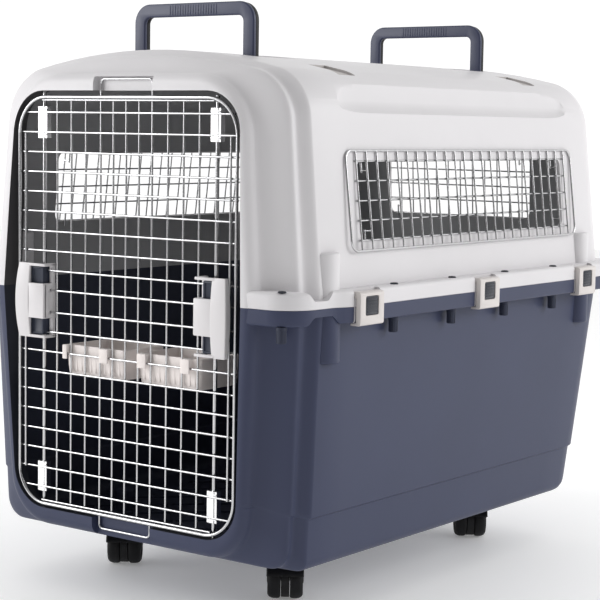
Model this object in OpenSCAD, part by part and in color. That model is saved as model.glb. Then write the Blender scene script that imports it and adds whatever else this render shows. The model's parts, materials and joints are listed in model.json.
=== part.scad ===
// Large wheeled pet carrier: two drafted plastic half shells joined at a flange,
// a welded wire door with two squeeze latches, wire side windows, six side clips,
// two folding carry handles, two hanging bowls and four twin-wheel castors.
// X is the width, the door faces -Y, Z is up and Z = 0 is the floor.

/* [Body] */
// Half width of the body at the flange
body_half_w = 262; // [250:1:275]
// Length of the body from the rim face to the rear wall at the flange
body_len = 785; // [760:5:820]
// Height of the parting line between the two shells
seam_z = 386; // [376:1:396]
// Height of the crown of the roof
roof_z = 682; // [672:1:692]
// Underside of the base
base_z = 73; // [68:1:76]
// Plastic wall thickness
wall = 4; // [3:0.5:5]

/* [Flange and clips] */
// Half width over the flange
flange_half_w = 281; // [278:1:284]
// Thickness of each shell's flange
flange_t = 20; // [18:1:22]
// Distance between neighbouring side clips
clip_pitch = 267; // [240:1:280]
// Width of a side clip
clip_w = 48; // [40:1:52]
// Distance between the side bolts
bolt_pitch = 131; // [120:1:140]

/* [Door] */
// Half width of the door frame to the wire centre
door_half_w = 177; // [170:1:178]
// Height of the door frame between wire centres
door_h = 515; // [500:1:516]
// Diameter of the mesh wire
mesh_d = 2.6; // [2:0.1:3]
// Diameter of the frame wire
frame_d = 4; // [3:0.5:4.5]
// Half distance between the two latch rods
rod_x = 141; // [138:1:142]
// Diameter of a latch rod
rod_d = 5; // [4:0.5:5]

/* [Windows] */
// Height of a side grille, measured upright
grille_h = 118; // [110:1:122]
// Distance between the upright wires of a grille
grille_pitch = 22; // [20:0.5:24]

/* [Handles] */
// Half width over the legs of a carry handle
handle_half_w = 98; // [90:1:98]
// Height of a carry handle above its pivot
handle_rise = 77; // [70:1:77]

/* [Castors] */
// Diameter of a castor wheel
wheel_d = 50; // [46:1:50]
// Angle that the castors are turned to
castor_turn = 37; // [0:1:90]

/* [Bowls] */
// Width of a bowl
bowl_w = 98; // [90:1:100]
// Depth of a bowl, front to back
bowl_l = 74; // [60:1:76]
// Height of a bowl
bowl_h = 38; // [30:1:40]

/* [Hidden] */
$fn = 48;

// Plastic and metal colours
white_shell = [0.86, 0.85, 0.86];
navy = [0.27, 0.29, 0.36];
cream = [0.88, 0.86, 0.82];
zinc = [0.78, 0.79, 0.80];
black = [0.08, 0.08, 0.09];

// The body runs from the rim face at front_y to the rear wall at rear_y, about mid_y
front_y = -400;
rear_y = front_y + body_len;
mid_y = -4;
door_y = -385;
door_z = 110;

// Draft of the walls: half widths at the base and below the roof, rear lean as a slope
base_half_w = body_half_w - 12;
roof_half_w = body_half_w - 28;
lean_low = 0.18;
lean_high = 0.05;
rim_lean = 0.036;
step_z = 139;
step_in = 3;
roof_corner_r = 65;
roof_crown = 0.145;
roof_tangent_z = roof_z + 12;
base_corner_r = 14;
rear_corner_r = 60;

// Rim around the doorway
rim_half_w = 212;
rim_half_top = 187;
rim_half_low = 192;
rim_top_z = 655;
rim_low_z = 82;
rim_top_r = 80;
rim_crown = 0.02;
rim_low_r = 62;
rim_depth = 12;
flare_y = 65;

// Doorway in the rim
way_half_w = 193.6;
way_half_end = 181.5;
way_top_z = 633;
way_low_z = 105;
way_r = 50;

function lerp(a, b, t) = a + (b - a) * t;
function smooth(t) = t * t * (3 - 2 * t);

// One half of a lower profile, from the flange down to the middle of the base
function low_half(hs, hb, zb, r, z_seam, step) =
    let (
        k = (hs - hb) / (seam_z - zb),
        cx = hb - step + k * r - r * sqrt(1 + k * k),
        side = function(z) hs - k * (seam_z - z)
    )
    concat(
        [[side(z_seam), z_seam], [side(260), 260], [side(step_z), step_z], [side(step_z) - step, step_z - 1]],
        [for (i = [0:5]) let (a = lerp(-atan(k), -90, i / 5)) [cx + r * cos(a), zb + r + r * sin(a)]]
    );

// One half of an upper profile, from the flange up to the roof, which is arched between the corners.
// zt is where the corner's tangent meets the middle, above the arch
function high_half(hs, ht, zt, r, z_seam, crown) =
    let (
        k = (hs - ht) / (zt - seam_z),
        a0 = hs + k * seam_z - r * sqrt(1 + k * k),
        b0 = zt - r * sqrt(1 + crown * crown),
        cx = (a0 - k * b0) / (1 - k * crown),
        cz = b0 - crown * cx
    )
    concat(
        [[hs - k * (z_seam - seam_z), z_seam], [lerp(hs, cx + r, 0.5), lerp(seam_z, cz, 0.5)]],
        [for (i = [0:8]) let (a = lerp(atan(k), 90 - atan(crown), i / 8)) [cx + r * cos(a), cz + r * sin(a)]],
        let (xe = cx + r * sin(atan(crown)), ze = cz + r * cos(atan(crown)))
            [for (t = [0.75, 0.5, 0.25, 0]) [xe * t, ze + crown * xe / 2 * (1 - t * t)]]
    );

// Both halves of a profile as one open run of points, right side first
function both(half) =
    concat(half, [for (i = [len(half) - 1:-1:0]) if (half[i][0] > 0) [-half[i][0], half[i][1]]]);

// Where the front face and the rear wall lie at a height
function front_at(z) = front_y + rim_lean * abs(z - seam_z);
function rear_at(z) = rear_y - (z < seam_z ? lean_low * (seam_z - z) : lean_high * (z - seam_z));

// A ring of the loft: the profile set into space, with its own distance from the front or the rear
function front_ring(profile, back, keep) =
    [for (p = profile) [p[0], lerp(front_y, front_at(p[1]), keep) + back, p[1]]];
function rear_ring(profile, ahead) = [for (p = profile) [p[0], rear_at(p[1]) - ahead, p[1]]];

// Profiles of the rim and of the body, set in by a skin thickness
function low_rim(t, s) = both(low_half(rim_half_w - t, rim_half_low - t, rim_low_z + t, rim_low_r - t, s, 0));
function low_body(t, s, in, up, st) =
    both(low_half(body_half_w - t - in, base_half_w - t - in, base_z + t + up, base_corner_r + up, s, st));
function high_rim(t, s) =
    both(high_half(rim_half_w - t, rim_half_top - t, rim_top_z + 1 - t, rim_top_r - t, s, rim_crown));
function high_body(t, s, in, down) =
    let (half = body_half_w - t - in, top = roof_half_w - t - in)
        both(high_half(half, top, roof_tangent_z - t - down, roof_corner_r - t, s, roof_crown));
function mix(a, b, t) = [for (i = [0:len(a) - 1]) [lerp(a[i][0], b[i][0], t), lerp(a[i][1], b[i][1], t)]];

// Rings from the rim face to the rear wall
function loft_rings(rim, body, t, rear) = concat(
    [front_ring(rim, t, 1), front_ring(rim, rim_depth, 1)],
    [for (i = [1:5])
        let (u = i / 5) front_ring(mix(rim, body, smooth(u)), rim_depth + (flare_y - rim_depth) * u, 1 - u)],
    [for (i = [0:len(rear) - 1]) rear_ring(rear[i][0], rear[i][1] + t)]
);

// A closed solid through the rings; each ring closes on itself along its straight edge
module loft(rings, flip) {
    n = len(rings[0]);
    m = len(rings);
    sides = [
        for (j = [0:m - 2])
            for (i = [0:n - 1])
                let (a = j * n + i, b = j * n + (i + 1) % n, quad = [a, b, b + n, a + n])
                    flip ? [quad[3], quad[2], quad[1], quad[0]] : quad
    ];
    caps = [
        for (i = [0:floor((n - 1) / 2) - 1])
            for (end = [0, 1])
                let (
                    o = end * (m - 1) * n,
                    a = o + i,
                    b = o + i + 1,
                    c = o + n - 2 - i,
                    d = o + n - 1 - i,
                    face = b == c ? [a, b, d] : [a, b, c, d]
                )
                    (end == 0) != flip ? [for (q = [len(face) - 1:-1:0]) face[q]] : face
    ];
    polyhedron([for (r = rings) each r], concat(sides, caps));
}

function rear_steps(r, count) =
    [for (i = [0:count]) let (a = 90 * i / count) [r * (1 - cos(a)), r * (1 - sin(a))]];

module low_solid(t, s) {
    steps = rear_steps(rear_corner_r - t, 5);
    loft(loft_rings(
        low_rim(t, s), low_body(t, s, 0, 0, step_in), t,
        [for (q = steps) [low_body(t, s, q[0], q[0] / 3, step_in), q[1]]]
    ), true);
}
module high_solid(t, s) {
    steps = rear_steps(rear_corner_r - t, 5);
    loft(loft_rings(
        high_rim(t, s), high_body(t, s, 0, 0), t,
        [for (q = steps) [high_body(t, s, q[0], q[0] * 0.7), q[1]]]
    ), false);
}

// Outline of the flange in plan, right half, front to rear
function flange_half() = concat(
    [[rim_half_w + 8, front_y + 1]],
    [for (i = [0:6]) let (a = -80 + 80 * i / 6) [228 + 44 * cos(a), front_y + 44 + 44 * sin(a)]],
    [[272, -318], [flange_half_w, -306]],
    [for (i = [0:6]) let (a = 90 * i / 6) [flange_half_w - 70 + 70 * cos(a), rear_y + 15 - 70 + 70 * sin(a)]]
);
module flange_plate(z0, h) {
    translate([0, 0, z0])
        linear_extrude(h)
            polygon(both(flange_half()));
}

// The doorway as a prism along Y
function way_corner(k, sign, g, end) =
    let (r = way_r + g, cx = way_half_end + g + k * r - r * sqrt(1 + k * k), cz = end + sign * g - sign * r)
    [for (i = [0:6]) let (a = sign * lerp(atan(k), 90, i / 6)) [cx + r * cos(a), cz + r * sin(a)]];
function way_half(g) =
    let (
        low = way_corner((way_half_w - way_half_end) / (seam_z - way_low_z), -1, g, way_low_z),
        high = way_corner((way_half_w - way_half_end) / (way_top_z - seam_z), 1, g, way_top_z)
    )
    concat([for (i = [6:-1:0]) low[i]], [[way_half_w + g, seam_z]], high);
// The doorway grown by g, reaching from in front of the rim to a depth behind its face
module way_prism(g, depth) {
    translate([0, front_y + depth, 0])
        rotate([90, 0, 0])
            linear_extrude(depth + 10)
                polygon(both(way_half(g)));
}
jamb_depth = 30;

module at_sides() {
    children();
    mirror([1, 0, 0]) children();
}
module block(x0, x1, y0, y1, z0, z1) {
    translate([x0, y0, z0]) cube([x1 - x0, y1 - y0, z1 - z0]);
}

// Sockets for the latch rods and the notched pads behind the door's two loops
socket_low = way_low_z;
socket_top = 628;
loop_half = 48;
notch_y = door_y + 5;
rod_y = door_y + 5;
socket_r = rod_d / 2 + 0.08;
module socket_blocks(z0, z1) {
    at_sides() block(rod_x - 9, rod_x + 9, rod_y - 8, rod_y + 9, z0, z1);
    block(-loop_half - 6, loop_half + 6, door_y - 8, notch_y + wall, z0, z1);
}
module socket_bores(z0, z1) {
    at_sides() translate([rod_x, rod_y, z0]) cylinder(r = socket_r, h = z1 - z0);
}

// Flange bolts: four along each side, one in each front lug, two across the rear
bolt_x = 270.5;
lug_bolt = [245, -389];
rear_bolt = [150, 392];
bolt_r = 3;
function bolt_places() = concat(
    [for (s = [-1, 1]) for (i = [-1.5:1:1.5]) [s * bolt_x, mid_y + i * bolt_pitch]],
    [for (s = [-1, 1]) [s * lug_bolt[0], lug_bolt[1]]],
    [for (s = [-1, 1]) [s * rear_bolt[0], rear_bolt[1]]]
);
module bolt_holes() {
    for (p = bolt_places()) translate([p[0], p[1], seam_z - 40]) cylinder(r = bolt_r + 0.3, h = 80);
}

// Half round pilasters that stiffen the walls beside the flange
pilaster_y = [-317, 293];
pilaster_r = 18;
module pilasters(z0, z1, x) {
    at_sides()
        for (y = pilaster_y)
            translate([x, y, z0]) cylinder(r = pilaster_r, h = z1 - z0, $fn = 36);
}

// Castor places, sockets and the clip and handle places
castor_x = 137;
castor_y = [-233, 211];
stem_r = 5;
function castor_places() = [for (y = castor_y) for (s = [-1, 1]) [s * castor_x, y]];
function clip_places() = [for (s = [-1, 1]) for (i = [-1:1]) [s, mid_y + i * clip_pitch]];
clip_pin_x = 277.7;
clip_pin_z = seam_z + 14;
handle_y = [-256, 275];
handle_pivot_z = 668.4;
well_floor_z = 659.5;
well_half = 101;
well_side = 115;

module lower_shell() {
    color(navy) difference() {
        union() {
            low_solid(0, seam_z);
            flange_plate(seam_z - flange_t + 1, flange_t - 1);
            pilasters(320, seam_z - flange_t + 2, body_half_w - 9);
        }
        difference() {
            low_solid(wall, seam_z + 1);
            way_prism(wall, jamb_depth);
            socket_blocks(base_z, socket_low);
            for (p = castor_places()) translate([p[0], p[1], base_z]) cylinder(r = 13, h = 30);
        }
        way_prism(0, flare_y);
        block(-loop_half, loop_half, front_y - 10, notch_y, base_z - 1, way_low_z + 5);
        socket_bores(socket_low - 14, socket_low + 5);
        bolt_holes();
        for (p = castor_places()) translate([p[0], p[1], base_z - 1]) cylinder(r = stem_r + 0.05, h = 24);
    }
}

window_half_l = 248;
rear_window_half_l = 127;
// Shallow slots across the roof's shoulders, which keep a strap in place
slot_y = [-221, 219];
slot_half_w = 17;
module roof_slots() {
    at_sides()
        for (y = slot_y)
            translate([0, y + slot_half_w, 0]) rotate([90, 0, 0]) linear_extrude(2 * slot_half_w)
                polygon([[150, 669.4], [186, 664.6], [196, 662.6], [208, 660.8], [208, 700], [150, 700]]);
}
// Recess along the shoulder: a sloping ledge below a long flat facet
recess_z = 609;
recess_half_l = 284;
module shoulder_recess(t) {
    at_sides()
        translate([-t, mid_y + recess_half_l + t, 0]) rotate([90, 0, 0]) linear_extrude(2 * (recess_half_l + t))
            polygon([[243, recess_z - t], [232, recess_z + 10], [214, 657], [290, 690], [290, recess_z - t]]);
}
window_z = [460, 554];
module handle_wells_skin() {
    for (i = [0, 1])
        let (dir = i == 0 ? 1 : -1)
            translate([0, handle_y[i] - dir * 14, 0])
                scale([1, dir, 1])
                    translate([0, 98, 0]) rotate([90, 0, 0]) linear_extrude(98)
                        polygon([
                            [-well_side, well_floor_z - wall], [well_side, well_floor_z - wall],
                            [well_side, roof_z - 10], [0, roof_z - 2], [-well_side, roof_z - 10]
                        ]);
}
module handle_wells_cut() {
    for (i = [0, 1])
        let (dir = i == 0 ? 1 : -1)
            translate([0, handle_y[i], 0]) {
                block(-well_half, well_half, dir > 0 ? -9 : -81, dir > 0 ? 81 : 9, well_floor_z, roof_z + 5);
                translate([-113, 0, handle_pivot_z]) rotate([0, 90, 0]) cylinder(r = 3.03, h = 226);
            }
}
module upper_shell() {
    color(white_shell) difference() {
        union() {
            high_solid(0, seam_z);
            flange_plate(seam_z, flange_t);
            pilasters(seam_z + flange_t - 2, 449, body_half_w - 11);
        }
        difference() {
            high_solid(wall, seam_z - 1);
            way_prism(wall, jamb_depth);
            socket_blocks(socket_top, rim_top_z);
            shoulder_recess(wall);
            handle_wells_skin();
        }
        way_prism(0, flare_y);
        block(-loop_half, loop_half, front_y - 10, notch_y, way_top_z - 20, 650);
        socket_bores(socket_top - 1, socket_top + 14);
        handle_wells_cut();
        at_sides() block(150, 300, mid_y - window_half_l, mid_y + window_half_l, window_z[0], window_z[1]);
        shoulder_recess(0);
        block(-rear_window_half_l, rear_window_half_l, rear_y - 60, rear_y + 20, window_z[0], window_z[1]);
        roof_slots();
        bolt_holes();
        for (c = clip_places()) clip_recess(c);
    }
}

// Places a clip, drawn for the +X side about the origin in Y, at its own side and station
module at_clip(c) {
    translate([0, c[1], 0]) scale([c[0], 1, 1]) children();
}
module clip_recess(c) {
    at_clip(c) {
        block(
            clip_pin_x - 3.8, 300, -clip_w / 2 - 0.5, clip_w / 2 + 0.5,
            clip_pin_z - 4.2, seam_z + flange_t + 5
        );
        translate([clip_pin_x, -30, clip_pin_z]) rotate([-90, 0, 0]) cylinder(r = 1.53, h = 60);
    }
}
clip_face_x = 288;
clip_back_x = flange_half_w + 0.5;
button_half = 13.2;
button_foot_half = 16;
button_back_x = 284;
button_z = [seam_z - 10.7, seam_z + 11.7];
module side_clip(c) {
    color(cream) at_clip(c) difference() {
        union() {
            translate([0, clip_w / 2, 0]) rotate([90, 0, 0]) linear_extrude(clip_w) {
                hull() {
                    translate([clip_pin_x, clip_pin_z]) circle(r = 3.4);
                    translate([clip_back_x, clip_pin_z - 4]) square([clip_face_x - clip_back_x - 1, 6.5]);
                }
                translate([clip_back_x, seam_z - 22.3]) square([clip_face_x - clip_back_x, 38.3]);
                translate([274, seam_z - 22.6]) square([clip_face_x - 275, 2.8]);
            }
        }
        block(
            clip_back_x - 1, clip_face_x + 1, -button_half - 0.3, button_half + 0.3,
            button_z[0] - 0.3, button_z[1] + 0.3
        );
        block(
            clip_back_x - 1, button_back_x + 1.2, -button_foot_half - 0.3, button_foot_half + 0.3,
            button_z[0] - 0.3, button_z[1] + 0.3
        );
        translate([clip_pin_x, -30, clip_pin_z]) rotate([-90, 0, 0]) cylinder(r = 1.6, h = 60);
    }
}
module clip_button(c) {
    color(black) at_clip(c) {
        block(button_back_x, clip_face_x - 0.6, -button_half, button_half, button_z[0], button_z[1]);
        block(button_back_x, button_back_x + 1, -button_foot_half, button_foot_half, button_z[0], button_z[1]);
    }
}
module clip_pins() {
    color(zinc)
        for (c = clip_places())
            at_clip(c) translate([clip_pin_x, -29, clip_pin_z]) rotate([-90, 0, 0]) cylinder(r = 1.5, h = 58);
}
module flange_bolts() {
    color(black)
        for (p = bolt_places())
            translate([p[0], p[1], 0]) {
                translate([0, 0, seam_z + flange_t]) cylinder(r = 6, h = 2.4);
                translate([0, 0, seam_z - 30]) cylinder(r = bolt_r, h = 31 + flange_t);
            }
}
module flange_nuts() {
    color(black)
        for (p = bolt_places())
            translate([p[0], p[1], seam_z - flange_t + 1 - 19]) difference() {
                cylinder(r = 6.5, h = 19);
                translate([0, 0, -1]) cylinder(r = bolt_r, h = 21);
            }
}

// Window grilles: welded wire panels that lean with their walls
grille_x = [262, 248];
grille_y = [386, 378.6];
grille_z = [448, 566];
grille_wire_d = 2.4;
grille_frame_d = 3;
// A closed frame of round wire with round corners, in the XY plane about the origin
module wire_loop(hx, hy, r, d) {
    at_sides() translate([hx, -hy + r, 0]) rotate([-90, 0, 0]) cylinder(r = d / 2, h = 2 * (hy - r));
    for (s = [-1, 1]) translate([-hx + r, s * hy, 0]) rotate([0, 90, 0]) cylinder(r = d / 2, h = 2 * (hx - r));
    for (q = [[1, 1, 0], [-1, 1, 90], [-1, -1, 180], [1, -1, 270]])
        translate([q[0] * (hx - r), q[1] * (hy - r), 0])
            rotate([0, 0, q[2]]) rotate_extrude(angle = 90) translate([r, 0]) circle(r = d / 2, $fn = 24);
}
grille_levels = [-47, -23.5, 0, 23.5, 47];
grille_uprights = 23;
rear_uprights = 12;
grille_edge = 20.5;
hook_z = 36;
hook_reach = [10.4, 8.6];
// A panel facing +X: out is how far its bottom and top edges stand from the origin
module grille_panel(out, uprights) {
    tilt = atan((out[0] - out[1]) / (grille_z[1] - grille_z[0]));
    half_h = grille_h / 2 / cos(tilt);
    span = uprights * grille_pitch / 2;
    translate([lerp(out[0], out[1], 0.5), 0, lerp(grille_z[0], grille_z[1], 0.5)])
        rotate([0, -tilt, 0]) rotate([0, -90, 0]) {
            wire_loop(half_h, span + grille_edge, 12, grille_frame_d);
            for (i = [0:uprights])
                translate([-half_h, i * grille_pitch - span, 0]) rotate([0, 90, 0])
                    cylinder(r = grille_wire_d / 2, h = 2 * half_h, $fn = 24);
            for (z = grille_levels)
                translate([z, -span - 2, 2.2]) rotate([-90, 0, 0])
                    cylinder(r = grille_wire_d / 2, h = 2 * span + 4, $fn = 24);
            for (sz = [-1, 1])
                for (sy = [-1, 1])
                    translate([sz * hook_z, sy * (span - grille_pitch), 0]) {
                        cylinder(r = grille_wire_d / 2, h = hook_reach[sz > 0 ? 1 : 0], $fn = 24);
                        translate([sz * -2, 0, hook_reach[sz > 0 ? 1 : 0]]) rotate([0, sz * 90, 0])
                            cylinder(r = grille_wire_d / 2, h = 19, $fn = 24);
                    }
        }
}
module side_grille(side) {
    color(zinc) scale([side, 1, 1]) translate([0, mid_y + 1, 0]) grille_panel(grille_x, grille_uprights);
}
module rear_grille() {
    color(zinc) rotate([0, 0, 90]) grille_panel(grille_y, rear_uprights);
}

// Carry handles: a bail with a navy front half and a black back half, folding flat into a well
handle_leg_w = 17.6;
handle_bar_t = 17;
handle_front_d = 7;
handle_back_d = 5;
function arc(cx, cy, r, a0, a1) =
    [for (i = [0:6]) let (a = lerp(a0, a1, i / 6)) [cx + r * cos(a), cy + r * sin(a)]];
bail_r = 24;
bail_in_r = 8;
foot_r = 5;
function bail() =
    let (
        inner = handle_half_w - handle_leg_w,
        under = handle_rise - handle_bar_t,
        outside = both(concat(
            arc(handle_half_w - foot_r, 0, foot_r, -90, 0),
            arc(handle_half_w - bail_r, handle_rise - bail_r, bail_r, 0, 90)
        )),
        inside = both(concat(
            arc(inner + foot_r, 0, foot_r, -90, -180),
            arc(inner - bail_in_r, under - bail_in_r, bail_in_r, 0, 90)
        ))
    )
    concat(outside, [for (i = [len(inside) - 1:-1:0]) inside[i]]);
module handle_half(i, y0, y1) {
    translate([0, handle_y[i], handle_pivot_z])
        difference() {
            rotate([90, 0, 0]) translate([0, 0, -y1]) linear_extrude(y1 - y0)
                polygon(bail());
            translate([-120, 0, 0]) rotate([0, 90, 0]) cylinder(r = 3.08, h = 240);
        }
}
module handle_grip(i) {
    color(navy) handle_half(i, -handle_front_d + 1, 1);
}
module handle_back(i) {
    color(black) handle_half(i, 1, 1 + handle_back_d);
}
module handle_pins() {
    color(zinc)
        for (y = handle_y)
            at_sides() translate([76, y, handle_pivot_z]) rotate([0, 90, 0]) cylinder(r = 3, h = 36);
}

// Door: frame wire, upright and level mesh wires; the level wires lie in the door plane
upright_x = [0, 21, 42, 67.1, 91.6, 116];
level_low = 21.2;
level_high = 273.3;
function level_z() = concat(
    [3.6],
    [for (i = [0:9]) level_low + i * (245.4 - level_low) / 9],
    [for (i = [0:9]) level_high + i * (496.2 - level_high) / 9],
    [door_h - 3.6]
);
loop_top = 537;
loop_low = -19;
upright_y = mesh_d - 0.2;
end_wire_x = 167.2;
module door_place() {
    translate([0, door_y, door_z]) children();
}
module door_frame() {
    color(zinc) door_place()
        translate([0, -3, door_h / 2]) rotate([90, 0, 0]) wire_loop(door_half_w, door_h / 2, 45, frame_d);
}
module upright(x, y, z0, z1) {
    translate([x, y, z0]) cylinder(r = mesh_d / 2, h = z1 - z0, $fn = 24);
}
module door_wires_upright() {
    color(zinc) door_place() {
        for (x = [for (u = upright_x) each (u == 0 ? [0] : [-u, u])])
            if (abs(x) != 42) upright(x, upright_y, 1, door_h - 1);
        at_sides() upright(end_wire_x, -mesh_d + 0.2, 45, 470);
        for (s = [-1, 1]) upright(s * 42, upright_y, loop_low + 6, loop_top - 6);
        for (z = [loop_low, loop_top]) {
            up = z > 0 ? -1 : 1;
            translate([-36, upright_y, z]) rotate([0, 90, 0]) cylinder(r = mesh_d / 2, h = 72, $fn = 24);
            at_sides() translate([36, upright_y, z + up * 6]) rotate([up * -90, 0, 0])
                rotate_extrude(angle = 90) translate([6, 0]) circle(r = mesh_d / 2, $fn = 24);
        }
    }
}
module door_wires_level() {
    color(zinc) door_place()
        for (z = level_z()) {
            h = z < 10 || z > door_h - 10 ? 140 : z < 30 || z > door_h - 30 ? 171 : door_half_w;
            translate([-h, 0, z]) rotate([0, 90, 0]) cylinder(r = mesh_d / 2, h = 2 * h, $fn = 24);
        }
}

// Sheet metal sleeves that guide the rods at the corners of the door
guide_z = [[15, 53], [464, 503]];
module rod_guides() {
    color(zinc) door_place()
        at_sides()
            for (g = guide_z)
                difference() {
                    block(rod_x - 7.5, rod_x + 7.5, 1.1, 9, g[0], g[1]);
                    translate([rod_x, rod_y - door_y, g[0] - 1])
                        cylinder(r = rod_d / 2 + 0.3, h = g[1] - g[0] + 2);
                }
}

// Latches: a navy base clamped on the wires and a cream squeeze handle that slides in x
latch_z = [213, 307];
latch_mid = (latch_z[0] + latch_z[1]) / 2;
latch_travel = 4;
rod_travel = 8;
rod_gap = 0.5;
grip_x = [153, 175];
base_x = [131, 181];
module latch_wires_cut(clear) {
    for (z = level_z())
        if (z > latch_z[0] - 5 && z < latch_z[1] + 5)
            translate([100, 0, z]) rotate([0, 90, 0]) cylinder(r = mesh_d / 2 + clear, h = 100, $fn = 24);
}
module at_latch(side) {
    door_place() scale([side, 1, 1]) children();
}
module latch_base(side) {
    color(navy) at_latch(side) difference() {
        block(base_x[0], base_x[1], -7.5, 9, latch_z[0] + 4, latch_z[1] - 4);
        latch_wires_cut(0.05);
        block(end_wire_x - 1.4, end_wire_x + 1.4, -3.9, -0.5, 200, 320);
        block(door_half_w - 2.1, base_x[1] + 1, -5.1, -0.5, 200, 320);
        for (z = [latch_z[0], latch_z[1] - 40])
            translate([rod_x, rod_y - door_y, z]) cylinder(r = rod_d / 2 + 0.3, h = 40);
    }
    color(navy) at_latch(side) block(138, 140.4, -12.4, -7.4, latch_mid - 4, latch_mid + 4);
}
module latch_spring(side) {
    color(zinc) at_latch(side)
        translate([140.5, -10.4, latch_mid]) rotate([0, 90, 0])
            for (i = [0:5]) translate([0, 0, 0.6 + i * 1.1])
                rotate_extrude() translate([1.6, 0]) circle(r = 0.6, $fn = 24);
}
block_z = [237, 281];
// The left latch stands locked; the right one stands squeezed, with its rods out of their sockets
module latch_handle(side) {
    color(cream) at_latch(side) translate([side > 0 ? -latch_travel : 0, 0, 0]) difference() {
        union() {
            block(grip_x[0], grip_x[1], -14, -7.9, latch_z[0], latch_z[1]);
            block(136, grip_x[0] + 1, -14, -7.9, block_z[0], block_z[1]);
            for (z = [latch_z[0], latch_z[1] - 3.6]) {
                block(125, grip_x[1], -14, -7.9, z, z + 3.6);
                block(125, 135, -8.5, 8.5, z, z + 3.6);
            }
            block(125, 130.6, 2.2, 8.5, latch_z[0], latch_z[1]);
        }
        block(137, 160, -13, -7, latch_mid - 5, latch_mid + 5);
    }
}
module latch_rod(side, top) {
    out = (side > 0 ? 0 : rod_travel) - rod_gap;
    z0 = top ? door_z + latch_z[1] - 26 : (socket_low - out);
    z1 = top ? socket_top + out : door_z + latch_z[0] + 26;
    color(zinc) translate([side * rod_x, rod_y, z0]) cylinder(r = rod_d / 2, h = z1 - z0);
}

// Bowls hang on a level wire of the door by two hooks each, set between the upright wires
bowl_x = [-52, 69.5];
bowl_hooks = [[-97.2, 3.6], [-31.5, 7], [31.5, 7], [100.5, 7]];
bowl_top_z = door_z + 207;
hook_wire_z = door_z + 195.6;
bowl_wall = 2.5;
bowl_back_y = door_y + 4.4;
module bowl(i) {
    color(cream) {
        translate([bowl_x[i], 0, 0]) difference() {
            block(-bowl_w / 2, bowl_w / 2, bowl_back_y, bowl_back_y + bowl_l, bowl_top_z - bowl_h, bowl_top_z);
            block(
                bowl_wall - bowl_w / 2, bowl_w / 2 - bowl_wall,
                bowl_back_y + bowl_wall, bowl_back_y + bowl_l - bowl_wall,
                bowl_top_z - bowl_h + bowl_wall, bowl_top_z + 1
            );
        }
        for (k = [2 * i, 2 * i + 1])
            translate([bowl_hooks[k][0], 0, 0]) {
                hw = bowl_hooks[k][1];
                block(-hw, hw, door_y - 4, bowl_back_y + 1, hook_wire_z + 1.7, bowl_top_z);
                block(-hw, hw, door_y - 4, door_y - 2, hook_wire_z - 6, hook_wire_z + 2);
            }
    }
}

// Castors: steel stem, black hood, and two wheels pressed on an axle that turns in the hood
trail = 10;
hub_half = 5.6;
wheel_w = 18;
neck_z = 52;
axle_r = 3;
module at_castor(i) {
    p = castor_places()[i];
    translate([p[0], p[1], 0]) rotate([0, 0, castor_turn]) children();
}
module castor_stem(i) {
    color(zinc) at_castor(i) translate([0, 0, neck_z - 12]) cylinder(r = stem_r, h = base_z - neck_z + 32);
}
module castor_hood(i) {
    r = wheel_d / 2;
    color(black) at_castor(i) difference() {
        union() {
            translate([-hub_half, trail, r]) rotate([0, 90, 0]) cylinder(r = r - 4, h = 2 * hub_half);
            translate([0, 0, r]) intersection() {
                translate([0, trail, 0]) rotate([0, 90, 0]) translate([0, 0, -hub_half - wheel_w])
                    cylinder(r = r + 3.5, h = 2 * (hub_half + wheel_w));
                block(-30, 30, -30, 45, 9, 40);
            }
            translate([0, 0, r]) cylinder(r = 9, h = base_z - 2 - r);
            translate([0, 0, base_z - 5]) cylinder(r = 13, h = 4.6);
        }
        for (s = [0, 1]) mirror([s, 0, 0])
            translate([hub_half + 0.001, trail, r]) rotate([0, 90, 0]) cylinder(r = r + 1, h = wheel_w + 1);
        translate([-20, trail, r]) rotate([0, 90, 0]) cylinder(r = axle_r + 0.05, h = 40);
        translate([0, 0, neck_z - 12]) cylinder(r = stem_r, h = 60);
    }
}
module castor_axle(i) {
    color(zinc) at_castor(i) translate([-hub_half - wheel_w + 2, trail, wheel_d / 2]) rotate([0, 90, 0])
        cylinder(r = axle_r, h = 2 * (hub_half + wheel_w) - 4);
}
module castor_wheels(i) {
    r = wheel_d / 2;
    color(black) at_castor(i)
        for (s = [0, 1]) mirror([s, 0, 0])
            translate([hub_half + 0.4, trail, r]) rotate([0, 90, 0])
                difference() {
                    rotate_extrude()
                        polygon([
                            [0, 0], [r - 2, 0], [r, 2],
                            [r, wheel_w - 8], [r - 4, wheel_w - 1], [0, wheel_w - 0.4]
                        ]);
                    translate([0, 0, -1]) cylinder(r = axle_r, h = wheel_w - 1.4);
                }
}

lower_shell();
upper_shell();
side_grille(-1);  // window_grille_left
side_grille(1);  // window_grille_right
rear_grille();  // window_grille_rear
flange_bolts();
flange_nuts();
clip_pins();
side_clip(clip_places()[0]);  // side_clip_1
side_clip(clip_places()[1]);  // side_clip_2
side_clip(clip_places()[2]);  // side_clip_3
side_clip(clip_places()[3]);  // side_clip_4
side_clip(clip_places()[4]);  // side_clip_5
side_clip(clip_places()[5]);  // side_clip_6
clip_button(clip_places()[0]);  // clip_button_1
clip_button(clip_places()[1]);  // clip_button_2
clip_button(clip_places()[2]);  // clip_button_3
clip_button(clip_places()[3]);  // clip_button_4
clip_button(clip_places()[4]);  // clip_button_5
clip_button(clip_places()[5]);  // clip_button_6
handle_grip(0);  // handle_grip_front
handle_grip(1);  // handle_grip_rear
handle_back(0);  // handle_back_front
handle_back(1);  // handle_back_rear
handle_pins();
door_frame();
door_wires_upright();
door_wires_level();
rod_guides();
latch_base(-1);  // latch_base_left
latch_base(1);  // latch_base_right
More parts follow.
